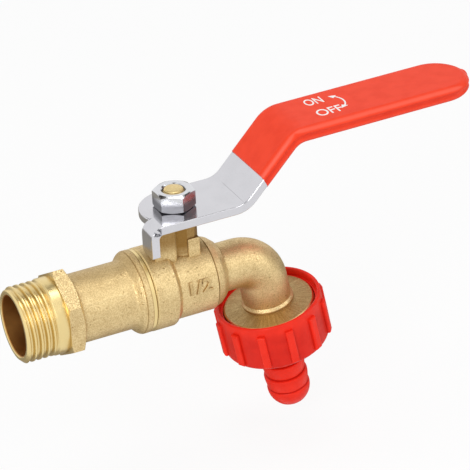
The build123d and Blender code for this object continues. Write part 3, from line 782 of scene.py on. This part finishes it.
@dataclass
class ValveBody:
    """The forged body with its cast size mark and the outlet's screw."""

    outlet: OutletFrame
    chamber_radius: float = 10.25 * MM  # Ball chamber
    mark_x: float = 38.1 * MM  # Middle of the size mark along X
    mark_height: float = 12.5  # Angle of its middle above the horizontal, in degrees
    mark_size: Point = (6.6 * MM, 3.8 * MM, 0.45 * MM)  # Its width, height and rise
    mark_bold: float = 0.03  # How much thicker its strokes are, as a share of their size
    joint: float = 24.9 * MM  # Joint face
    screw_start: float = 15.9 * MM  # Outlet screw, along its line
    screw_end: float = 21.2 * MM
    screw_radius: float = 12.6 * MM  # Screw's core
    screw_rise: float = 0.27 * MM  # Height of its ridge
    screw_pitch: float = 1.814 * MM  # Ridge to ridge

    def on_chamber(self, point: Vector) -> Vector:
        """Lay the size mark on the body.

        Args:
            point: A point of the flat mark.

        Returns:
            Its place on the near side of the chamber.
        """
        angle = math.radians(self.mark_height) + point.y / self.chamber_radius
        radius = self.chamber_radius + point.z
        return Vector((self.mark_x + point.x, -radius * math.cos(angle), radius * math.sin(angle)))

    def screw_mesh(self) -> Mesh:
        """Make the helical ridge round the outlet.

        Returns:
            A closed ribbon.
        """
        turns = (self.screw_end - self.screw_start) / self.screw_pitch
        steps_in_turn, run_out, corners = 96, 20.0, 4
        steps = int(turns * steps_in_turn)
        place = self.outlet.matrix()
        half = 0.42 * self.screw_pitch
        points, faces = [], []
        for k in range(steps + 1):
            angle = math.tau * turns * k / steps
            fade = min(1.0, k / run_out, (steps - k) / run_out)
            middle = self.screw_start + self.screw_pitch * angle / math.tau
            for offset, height in ((-half, -0.2), (-0.25 * half, fade), (0.25 * half, fade), (half, -0.2)):
                radius = self.screw_radius + self.screw_rise * height
                spot = Vector((radius * math.cos(angle), radius * math.sin(angle), middle + offset))
                points.append(place @ spot)
        for k in range(steps):
            a, b = corners * k, corners * (k + 1)
            for c in range(corners):
                d = (c + 1) % corners
                faces.append((a + c, a + d, b + d, b + c))
        last = corners * steps
        faces.append((0, 1, 2, 3))
        faces.append((last + 3, last + 2, last + 1, last))
        return closed_mesh("outlet_screw", points, faces, 30.0)

    def turned(self, bench: Bench) -> Value:
        """Where the body is machined: the joint's edge, the outlet disc and its screw.

        Args:
            bench: The material's tree.

        Returns:
            The share of bright metal.
        """
        x, _, _ = bench.place()
        edge = 1.0 - x.rise(self.joint + 0.36 * MM, self.joint + 0.46 * MM)
        low = self.outlet.along(bench).rise(14.2 * MM, 14.4 * MM)
        wide = self.outlet.radius(bench).rise(12.15 * MM, 12.3 * MM)
        return edge * 0.4 + low * wide

    def tarnish_and_shade(self, bench: Bench) -> Value:
        """Where the body is darker: turning streaks on the disc, painted shade on the neck under the lever
        and painted shade in the recess beside its lug.

        Args:
            bench: The material's tree.

        Returns:
            The share of dark metal.
        """
        x, y, z = bench.place()
        radius = self.outlet.radius(bench)
        around = y.angle_from(self.outlet.side(bench))
        streak = bench.streaks(around * 26.0, radius * 160.0).rise(0.3, 0.7)
        disc = self.outlet.along(bench).rise(14.0 * MM, 14.3 * MM) * radius.rise(7.2 * MM, 7.6 * MM)
        # Painted shade: the neck under the lever is darkened, less on the lug's front, and so is the recess
        # beside the lug.
        front = 1.0 - y.rise(-4.95 * MM, -4.75 * MM)
        neck = x.band(24.6 * MM, 42.2 * MM, 0.4 * MM) * z.rise(10.2 * MM, 15.2 * MM)
        lug = front * x.rise(37.0 * MM, 37.3 * MM)
        painted_shade = x.band(33.75 * MM, 37.2 * MM, 0.15 * MM) * z.band(9.8 * MM, 19.6 * MM, 0.6 * MM)
        painted_shade = painted_shade * (1.0 - y.rise(-1.0 * MM, 0.0)) * y.rise(-5.0 * MM, -4.7 * MM)
        return disc * (0.42 + 0.3 * streak) + neck * (1.0 - lug * 0.8) * 0.85 + painted_shade * 0.7

    def mark_side_shade(self, bench: Bench) -> Value:
        """Where shade is painted on the size mark: a little on its top and much on its sides.

        Args:
            bench: The material's tree.

        Returns:
            The share of dark metal.
        """
        _, y, z = bench.place()
        top = ((y * y + z * z) ** 0.5).rise(self.chamber_radius + 0.25 * MM, self.chamber_radius + 0.4 * MM)
        return 0.95 - 0.62 * top

    def inside(self, bench: Bench) -> Value:
        """Where the body is a tarnished bore.

        Args:
            bench: The material's tree.

        Returns:
            The share of the tarnished bore colour.
        """
        along, radius = self.outlet.along(bench), self.outlet.radius(bench)
        near = 1.0 - radius.rise(5.1 * MM, 5.3 * MM)
        low = along.rise(8.0 * MM, 9.0 * MM)
        mouth = along.rise(17.4 * MM, 17.6 * MM) * (1.0 - radius.rise(8.3 * MM, 8.5 * MM))
        return near * low + mouth * (1.0 - near)

    def build(self, finish: BrassFinish) -> None:
        """Dress the body, cast its mark and cut its screw.

        Args:
            finish: The brass.
        """
        material = finish.material("body_brass", self.turned, self.inside, self.tarnish_and_shade)
        dress("valve_body", material)
        marked = finish.material("mark_brass", nowhere, nowhere, self.mark_side_shade)
        figures = lettering("size_mark", "1/2", self.mark_size, self.mark_bold, self.on_chamber)
        mark = new_piece("size_mark", figures, marked, Body.TAP)
        bright = finish.material("screw_brass", evenly(1.0), nowhere)
        screw = new_piece("outlet_screw", self.screw_mesh(), bright, Body.TAP)


@dataclass
class LeverSet:
    """The plated lever, its nut and stem, and the vinyl grip with its print."""

    stem_x: float = 36.2 * MM  # Where the stem's axis is along X
    bend: Pair = (32.5 * MM, 37.7 * MM)  # Where the handle's line starts: X past the stem, and Z
    rise: float = 0.6  # The handle's climb in degrees
    incline: float = 45.89  # The climb of the strip before the handle, in degrees
    half_thickness: float = 2.2 * MM  # Half of the grip's thickness
    fold: float = 16.1 * MM  # X of the fold line on the plate, past the stem
    ink_rise: float = 0.03 * MM  # How far the print stands up
    word_height: float = 3.75 * MM  # Height of the printed words
    word_bold: float = 0.008  # How much thicker their strokes are, as a share of their size
    # Piece name, letters, width and middle of each word; the middle is X past the stem, and Y
    words: Tuple[Tuple[str, str, float, Pair], ...] = (
        ("open_word", "ON", 5.2 * MM, (44.1 * MM, 3.98 * MM)),
        ("shut_word", "OFF", 7.5 * MM, (45.25 * MM, -3.15 * MM)),
    )
    arrow_middle: Pair = (46.9 * MM, 0.45 * MM)  # Middle of the arrow's arc: X past the stem, and Y
    arrow_radius: float = 4.5 * MM  # Radius of its arc
    arrow_half: float = 0.22 * MM  # Half width of its line
    arrow_reach: float = 40.0  # Half of the arc's angle, in degrees
    head_half: float = 0.95 * MM  # Half width of its heads
    head_turn: float = 0.44  # Angle that a head takes up, in radians
    dome: Tuple[Pair, ...] = (  # The stem's rounded end in millimetres: heights over the stem and radii
        (-0.05, 2.6), (0.18, 2.6), (0.3, 2.5), (0.4, 2.2), (0.46, 1.6), (0.5, 0.8), (0.51, 0.02),
    )

    def on_grip(self, middle: Pair) -> Callable[[Vector], Vector]:
        """Return a rule that lays a flat point on the grip's top.

        Args:
            middle: X past the stem, and Y, of the flat shape's middle.

        Returns:
            The rule.
        """
        climb = math.radians(self.rise)
        along = Vector((math.cos(climb), 0.0, math.sin(climb)))
        out = Vector((-math.sin(climb), 0.0, math.cos(climb)))
        start = Vector((self.stem_x + self.bend[0], 0.0, self.bend[1]))
        reach, lift = middle[0] - self.bend[0], self.half_thickness

        def rule(point: Vector) -> Vector:
            """Lay one point."""
            spot = start + along * (reach + point.x) + out * (lift + point.z)
            return spot + Vector((0.0, middle[1] + point.y, 0.0))

        return rule

    def arrow_mesh(self) -> Mesh:
        """Make the curved arrow with a head at each end.

        Returns:
            Its flat mesh, on the grip.
        """
        lay = self.on_grip(self.arrow_middle)
        radius, reach, steps = self.arrow_radius, math.radians(self.arrow_reach), 28

        def spot(distance: float, angle: float) -> Pair:
            """A flat point by its distance and angle from the arc's middle."""
            return distance * math.cos(angle), distance * math.sin(angle)

        angles = [-reach + 2.0 * reach * k / steps for k in range(steps + 1)]
        inner = [spot(radius - self.arrow_half, angle) for angle in angles]
        outer = [spot(radius + self.arrow_half, angle) for angle in angles]
        work = bmesh.new()

        def sheet(flat: Sequence[Pair]) -> None:
            """Add one flat face."""
            work.faces.new([work.verts.new(lay(Vector((px, py, self.ink_rise)))) for px, py in flat])

        for k in range(steps):
            sheet((inner[k], outer[k], outer[k + 1], inner[k + 1]))
        for way in (-1, 1):
            near, far = (spot(radius + side * self.head_half, way * reach) for side in (-1, 1))
            point = spot(radius, way * (reach + self.head_turn))
            sheet((near, far, point) if way > 0 else (far, near, point))
        bmesh.ops.remove_doubles(work, verts=work.verts, dist=1e-7)
        mesh = bpy.data.meshes.new("turn_arrow")
        work.to_mesh(mesh)
        work.free()
        return mesh

    def marks_and_shade(self, bench: Bench) -> Value:
        """Where the lever's plating is dark: painted shade along its fold line, and the rough relief at the
        tab.

        Args:
            bench: The material's tree.

        Returns:
            The share of dark plating.
        """
        x, y, z = bench.place()
        past = x - self.stem_x
        # Painted shade along the fold crease.
        fold = past.band(self.fold - 0.07 * MM, self.fold + 0.07 * MM, 0.05 * MM)
        fold = fold * y.band(-8.2 * MM, 4.0 * MM, 1.5 * MM) * z.rise(21.5 * MM, 22.0 * MM)
        relief = past.band(-10.3 * MM, -8.3 * MM, 0.3 * MM) * (1.0 - y.rise(-9.5 * MM, -9.1 * MM))
        relief = relief * z.band(20.2 * MM, 22.4 * MM, 0.2 * MM) * bench.grain(0.0005, 2.0).rise(0.3, 0.5)
        return fold * 0.3 + relief

    def stem_radius(self, bench: Bench) -> Value:
        """The distance from the stem's axis, as a shader value."""
        x, y, _ = bench.place()
        return ((x - self.stem_x) * (x - self.stem_x) + y * y) ** 0.5

    def nut_shade_and_reflection(self, bench: Bench) -> Value:
        """Where the nut is dark: painted shade round its screw, and a painted dark reflection down towards
        its foot.

        Args:
            bench: The material's tree.

        Returns:
            The share of dark plating.
        """
        _, _, z = bench.place()
        near = 1.0 - self.stem_radius(bench).rise(3.1 * MM, 3.25 * MM)
        # Painted shade round the screw, and a painted dark reflection lower down the sides.
        sink = near * z.rise(26.7 * MM, 26.85 * MM)
        return sink * 0.7 + 0.74 * (1.0 - z.rise(24.4 * MM, 26.4 * MM))

    def stem_dark_ring(self, bench: Bench) -> Value:
        """Where the stem is dark: a ring at the foot of its domed end."""
        _, _, z = bench.place()
        return self.stem_radius(bench).rise(2.55 * MM, 2.7 * MM) * z.rise(27.0 * MM, 27.1 * MM) * 0.8

    def dome_mesh(self) -> Mesh:
        """The rounded end that the stem shows above its nut."""
        top = max(vert.co.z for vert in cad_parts["stem"].data.vertices)
        return lathe("stem_dome", self.dome, Matrix.Translation((self.stem_x, 0.0, top)), 72)

    def off_middle(self, bench: Bench) -> Value:
        """Work out the height over the middle of the bent handle.

        Args:
            bench: The material's tree.

        Returns:
            The height as a shader value.
        """
        x, _, z = bench.place()
        ahead = x - (self.stem_x + self.bend[0])
        above = z - self.bend[1]
        climb, slope = math.radians(self.rise), math.radians(self.incline)
        level = above * math.cos(climb) - ahead * math.sin(climb)
        return level.or_more(above * math.cos(slope) - ahead * math.sin(slope))

    def groove_shade(self, bench: Bench) -> Value:
        """Where shade is painted into the groove along the grip's sides."""
        middle = self.off_middle(bench).band(-0.5 * MM, 0.75 * MM, 0.45 * MM)
        return abs(bench.place()[1]).rise(8.7 * MM, 9.2 * MM) * middle * 0.5

    def edge_highlight(self, bench: Bench) -> Value:
        """Where a highlight is painted along the grip's long upper edges."""
        upper = self.off_middle(bench).band(1.25 * MM, 1.95 * MM, 0.25 * MM)
        return abs(bench.place()[1]).band(8.3 * MM, 9.5 * MM, 0.3 * MM) * upper * 0.28

    def build(
        self,
        plated: PlatedFinish,
        zinc: PlatedFinish,
        vinyl: PlasticFinish,
        brass: BrassFinish,
        ink: PlasticFinish,
    ) -> None:
        """Dress the lever, nut, stem and grip, and print the grip.

        Args:
            plated: Finish of the lever and ball.
            zinc: Finish of the nut.
            vinyl: Finish of the grip.
            brass: Finish of the stem.
            ink: Finish of the print.
        """
        dress("lever", plated.material("lever_plating", self.marks_and_shade))
        dress("lever_nut", zinc.material("nut_plating", self.nut_shade_and_reflection))
        dress("ball", plated.material("ball_plating", nowhere))
        dress("stem", brass.material("stem_brass", evenly(0.4), nowhere, self.stem_dark_ring))
        end_brass = brass.material("dome_brass", evenly(0.5), nowhere)
        dome = new_piece("stem_dome", self.dome_mesh(), end_brass, Body.LEVER)
        dress("lever_grip", vinyl.material("grip_vinyl", self.groove_shade, self.edge_highlight))
        print_ink = ink.material("grip_ink")
        for name, words, width, middle in self.words:
            size = (width, self.word_height, self.ink_rise)
            mesh = lettering(name, words, size, self.word_bold, self.on_grip(middle))
            word = new_piece(name, mesh, print_ink, Body.LEVER)
        arrow = new_piece("turn_arrow", self.arrow_mesh(), print_ink, Body.LEVER)


@dataclass
class HoseUnion:
    """The plastic nut and hose tail, and the soft parts inside."""

    outlet: OutletFrame
    # Places of the tail's creases along the outlet's line
    creases: Tuple[float, ...] = (34.22 * MM, 38.65 * MM, 43.05 * MM)
    nut_radius: float = 14.75 * MM  # Radius of the nut between its ribs
    # The tail's outline in millimetres: places along the outlet's line and radii
    profile: Tuple[Pair, ...] = (
        (24.0, 3.9), (24.0, 11.9), (25.9, 11.9), (25.9, 6.0), (30.0, 6.0), (32.6, 5.9), (34.0, 5.62),
        (34.2, 5.5), (34.3, 5.75), (34.5, 6.02), (35.0, 6.12), (36.0, 6.05), (37.2, 5.85), (38.3, 5.6),
        (38.55, 5.5), (38.65, 5.48), (38.75, 5.75), (38.95, 6.03), (39.4, 6.15), (40.3, 6.13), (41.5, 5.97),
        (42.6, 5.77), (42.95, 5.68), (43.05, 5.66), (43.15, 5.86), (43.4, 6.02), (43.9, 6.04), (44.8, 5.94),
        (45.6, 5.73), (46.3, 5.45), (46.9, 5.12), (47.4, 4.78), (47.85, 4.42), (48.15, 4.14), (48.3, 3.95),
        (48.2, 3.9), (40.0, 3.9), (32.0, 3.9),
    )
    columns: int = 144  # Points round the tail

    def crease_shade(self, bench: Bench) -> Value:
        """Where shade is painted deep into the tail's creases.

        Args:
            bench: The material's tree.

        Returns:
            The share of deep colour.
        """
        along = self.outlet.along(bench)
        bands = [along.band(place - 0.3 * MM, place + 0.12 * MM, 0.2 * MM) * 0.8 for place in self.creases]
        return sum(bands[1:], bands[0])

    def shade_between_ribs(self, bench: Bench) -> Value:
        """Where shade is painted deep on the nut's wall between the ribs.

        Args:
            bench: The material's tree.

        Returns:
            The share of deep colour.
        """
        radius = self.outlet.radius(bench)
        rib = radius.rise(self.nut_radius + 0.15 * MM, self.nut_radius + 0.6 * MM)
        wall = (1.0 - rib) * radius.rise(13.8 * MM, 14.2 * MM)
        return wall * self.outlet.along(bench).rise(15.0 * MM, 19.0 * MM) * 0.4

    def build(self, plastic: PlasticFinish, rubber: PlasticFinish, ptfe: PlasticFinish) -> None:
        """Dress the union and the seals.

        Args:
            plastic: Finish of the nut and tail.
            rubber: Finish of the washer and rings.
            ptfe: Finish of the seats and slip ring.
        """
        dress("union_nut", plastic.material("nut_plastic", self.shade_between_ribs))
        skin = lathe("hose_tail_skin", self.profile, self.outlet.matrix(), self.columns)
        lined = plastic.material("tail_plastic", self.crease_shade)
        tail = new_piece("hose_tail_skin", skin, lined, Body.HOSE)
        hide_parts("hose_tail")
        for node in ("hose_washer", "stem_ring_lower", "stem_ring_upper"):
            dress(node, rubber.material(node + "_rubber"))
        for node in ("seat_inlet", "seat_outlet", "thrust_washer"):
            dress(node, ptfe.material(node + "_ptfe"))


@dataclass
class Studio:
    """A pale floor, soft lamps, cards for the metal to mirror, and the camera."""

    floor_z: float = -0.0553
    azimuth: float = -24.902  # The camera's bearing, in degrees
    elevation: float = 28.978  # Its height above the horizon, in degrees
    roll: float = -2.936  # In degrees
    # The camera's place along its own right, up and back directions
    back: Point = (0.014987, 0.011819, 0.69141)
    stem_x: float = 0.0362  # Where the stem's axis is along X
    lens: float = 197.47  # Its focal length in millimetres on a 36 mm sensor
    ambient: float = 0.5  # Strength of the world's soft light

    def axes(self) -> Matrix:
        """Work out how the camera is turned.

        Returns:
            Its right, up and back directions as rows.
        """
        a, e, r = (math.radians(v) for v in (self.azimuth, self.elevation, self.roll))
        back = Vector((math.sin(a) * math.cos(e), -math.cos(a) * math.cos(e), math.sin(e)))
        right = Vector((math.cos(a), math.sin(a), 0.0))
        up = back.cross(right)
        return Matrix((math.cos(r) * right + math.sin(r) * up, math.cos(r) * up - math.sin(r) * right, back))

    def camera(self) -> None:
        """Add the camera at the photograph's angle."""
        axes = self.axes()
        data = bpy.data.cameras.new("camera")
        data.lens = self.lens
        data.sensor_width = 36.0
        data.clip_start = 0.01
        camera = add("camera", data)
        place = axes.transposed() @ Vector(self.back) + Vector((self.stem_x, 0.0, 0.0))
        camera.matrix_world = Matrix.Translation(place) @ axes.transposed().to_4x4()
        bpy.context.scene.camera = camera

    def lamp(self, name: str, place: Point, aim: Point, size: float, power: float) -> None:
        """Add one soft square lamp.

        Args:
            name: The lamp's name.
            place: Its middle.
            aim: A point that it faces.
            size: Its side.
            power: Its power in watts.
        """
        data = bpy.data.lights.new(name, "AREA")
        data.size = size
        data.energy = power
        lamp = add(name, data)
        lamp.location = place
        lamp.rotation_euler = (Vector(aim) - Vector(place)).to_track_quat("-Z", "Y").to_euler()

    def panel(self, name: str, place: Point, aim: Point, size: Pair, material: Material) -> Object:
        """Add a flat card.

        Args:
            name: The card's name.
            place: Its middle.
            aim: A point that it faces.
            size: Its width and height.
            material: Its finish.

        Returns:
            The card.
        """
        mesh = bpy.data.meshes.new(name)
        w, h = size[0] / 2.0, size[1] / 2.0
        mesh.from_pydata([(-w, -h, 0), (w, -h, 0), (w, h, 0), (-w, h, 0)], [], [(0, 1, 2, 3)])
        paint(mesh, material)
        card = add(name, mesh)
        card.location = place
        card.rotation_euler = (Vector(aim) - Vector(place)).to_track_quat("Z", "Y").to_euler()
        return card

    def seen(self, bench: Bench) -> Value:
        """Tell the camera's own rays, and those that mirrors and glass pass on, from the rest.

        Args:
            bench: The tree of the floor or the world.

        Returns:
            1 for such rays, else 0.
        """
        path = bench.node("ShaderNodeLightPath", {}, {})
        kinds = ("Camera", "Glossy", "Transmission")
        rays = [Value(bench, path.outputs[f"Is {kind} Ray"]) for kind in kinds]
        return sum(rays[1:], rays[0])

    def floor(self) -> None:
        """Add the pale floor, which the camera sees as near white and which keeps the shadow."""
        bench = Bench.named("floor")
        bench.set(Base_Color=(0.92, 0.92, 0.92), Roughness=0.7)
        glow = bench.node("ShaderNodeEmission", {}, {"Color": (1.0, 1.0, 1.0), "Strength": 1.0})
        out = next(n for n in bench.tree.nodes if n.type == "OUTPUT_MATERIAL")
        sockets = {0: self.seen(bench) * 0.88, 1: bench.shader.outputs[0], 2: glow.outputs[0]}
        mix = bench.node("ShaderNodeMixShader", {}, sockets)
        bench.tree.links.new(mix.outputs[0], out.inputs[0])
        self.panel("floor", (0.05, 0.0, self.floor_z), (0.05, 0.0, 1.0), (6.0, 6.0), bench.owner)

    def cards(self) -> None:
        """Add dark and grey cards that only mirror-like surfaces see."""
        dark, mid = Bench.named("dark_card"), Bench.named("mid_card")
        dark.set(Base_Color=(0.06, 0.05, 0.04), Roughness=0.9)
        mid.set(Base_Color=(0.36, 0.34, 0.30), Roughness=0.9)
        centre = (0.03, 0.0, 0.0)
        low = (0.08, 0.28, self.floor_z + 0.0006)
        for name, place, aim, size, bench in (
            ("card_camera", (-0.24, -0.50, 0.36), centre, (0.9, 0.05), dark),
            ("card_high", (-0.20, -0.16, 0.62), centre, (0.9, 0.06), dark),
            ("card_back", (0.10, 0.30, 0.62), centre, (1.3, 0.3), dark),
            ("card_side", (0.75, -0.05, 0.20), centre, (0.5, 0.5), dark),
            ("card_floor", low, (low[0], low[1], 1.0), (0.9, 0.56), mid),
        ):
            card = self.panel(name, place, aim, size, bench.owner)
            card.visible_camera = False
            card.visible_diffuse = False
            card.visible_shadow = False

    def world(self) -> None:
        """Light the set softly, with a white backdrop for the camera and for mirrors."""
        world = bpy.data.worlds.new("studio")
        bpy.context.scene.world = world
        bench = Bench(world)
        bench.set(Color=(1.0, 1.0, 1.0), Strength=self.ambient + (1.0 - self.ambient) * self.seen(bench))

    def build(self) -> None:
        """Set up the whole studio."""
        bpy.context.scene.view_settings.view_transform = "Standard"
        self.floor()
        self.cards()
        self.world()
        middle = (0.04, 0.0, 0.0)
        self.lamp("key", (-0.58, -0.60, 0.50), middle, 0.45, 3.8)
        self.lamp("fill", (0.7, -0.5, 0.45), middle, 0.5, 1.8)
        self.lamp("top", (0.1, 0.1, 0.9), middle, 0.5, 2.0)
        self.camera()


def main() -> None:
    """Dress the tap."""
    logging.basicConfig(level=logging.INFO, format="%(name)s: %(message)s")
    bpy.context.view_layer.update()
    brass = BrassFinish()
    plated = PlatedFinish()
    # The nut's near-black second colour is used for its painted shade and painted dark reflection.
    zinc = PlatedFinish((0.70, 0.705, 0.73), (0.03, 0.03, 0.035))
    vinyl = PlasticFinish((0.90, 0.058, 0.018), (0.68, 0.028, 0.008), 0.42, 0.2, 0.04, 0.00003)
    plastic = PlasticFinish((0.90, 0.030, 0.012), (0.52, 0.006, 0.002), 0.33, 0.16, 0.03, 0.00004)
    ink = PlasticFinish((0.92, 0.90, 0.88), (0.80, 0.72, 0.70), 0.45, 0.4, 0.0, 0.00001)
    rubber = PlasticFinish((0.02, 0.02, 0.021), (0.008, 0.008, 0.008), 0.6, 0.4, 0.0, 0.00002)
    ptfe = PlasticFinish((0.88, 0.88, 0.86), (0.70, 0.70, 0.67), 0.45, 0.4, 0.0, 0.00001)
    outlet = OutletFrame()
    InletTail().build(brass)
    ValveBody(outlet).build(brass)
    LeverSet().build(plated, zinc, vinyl, brass, ink)
    HoseUnion(outlet).build(plastic, rubber, ptfe)
    Studio().build()


if __name__ == "__main__":
    main()
